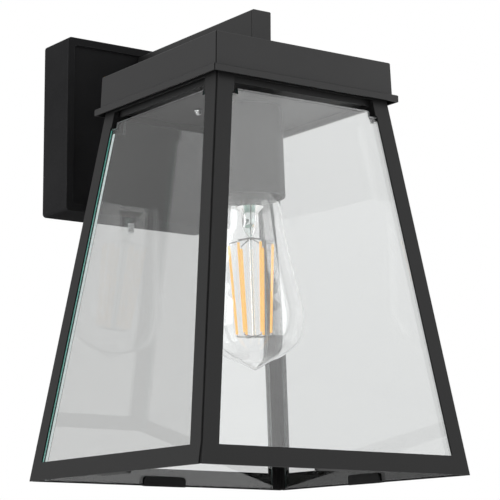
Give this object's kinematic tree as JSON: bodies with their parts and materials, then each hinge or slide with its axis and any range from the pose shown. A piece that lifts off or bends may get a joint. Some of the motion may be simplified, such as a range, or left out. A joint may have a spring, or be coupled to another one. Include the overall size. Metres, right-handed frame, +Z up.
{
  "type": "outdoor wall lantern",
  "caption": "Outdoor wall lantern: wall plate and arm carrying a square cap, a tapering glazed cage open below, and a lampholder with a clear filament bulb.",
  "frame": {"origin": "middle of the wall plate, in the plane of the wall", "axes": "+Z up, +Y into the wall, +X to the right of someone facing the lantern"},
  "size_m": [0.196, 0.2465, 0.3005],
  "materials": {
    "powder_black": "fine textured black powder coat, satin",
    "clear_glass": "clear, polished",
    "zinc": "zinc plated, dull",
    "steel": "bright plated",
    "brass": "bright",
    "nickel": "bright nickel",
    "foam": "closed cell foam",
    "rubber": "matte",
    "white_plastic": "satin",
    "black_plastic": "matte",
    "brown_insulation": "satin",
    "blue_insulation": "satin",
    "green_insulation": "satin, green and yellow",
    "phosphor": "matte yellow-orange coating",
    "circuit_board": "matte"
  },
  "bodies": {
    "lantern": {"wall_plate": "powder_black", "arm_tube": "powder_black", "arm_end_cap": "powder_black", "cap": "powder_black", "ceiling_plate": "powder_black", "frame_front": "powder_black", "frame_right": "powder_black", "frame_back": "powder_black", "frame_left": "powder_black", "lamp_sleeve": "powder_black", "glass_front": "clear_glass", "glass_right": "clear_glass", "glass_back": "clear_glass", "glass_left": "clear_glass", "mounting_bracket": "zinc", "arm_root_block": "zinc", "nipple_nut": "zinc", "plate_fixing_screw": "steel", "arm_root_screw_upper": "steel", "arm_root_screw_lower": "steel", "arm_cap_screw_front": "steel", "arm_cap_screw_rear": "steel", "cap_stud_left": "steel", "cap_stud_right": "steel", "dome_nut_left": "steel", "dome_nut_right": "steel", "threaded_nipple": "steel", "earth_screw": "brass", "terminal_screw_1": "brass", "terminal_screw_2": "brass", "terminal_screw_3": "brass", "screw_shell": "brass", "holder_contact": "brass", "wall_gasket": "foam", "cap_grommet": "rubber", "terminal_block": "white_plastic", "holder_body": "black_plastic", "live_wire": "brown_insulation", "neutral_wire": "blue_insulation", "earth_wire": "green_insulation"},
    "bulb": {"bulb_glass": "clear_glass", "bulb_stem": "clear_glass", "upper_wires": "nickel", "lower_wires": "nickel", "bulb_base": "nickel", "base_insulator": "black_plastic", "base_contact": "nickel", "driver_board": "circuit_board", "filament_1": "phosphor", "filament_2": "phosphor", "filament_3": "phosphor", "filament_4": "phosphor", "filament_5": "phosphor", "filament_6": "phosphor"}
  },
  "joints": [
    {"name": "bulb_screws_out", "type": "slide", "parent": "lantern", "child": "bulb", "axis": [0.0272, -0.019, -0.9995], "range_m": [0, 0.045]}
  ]
}
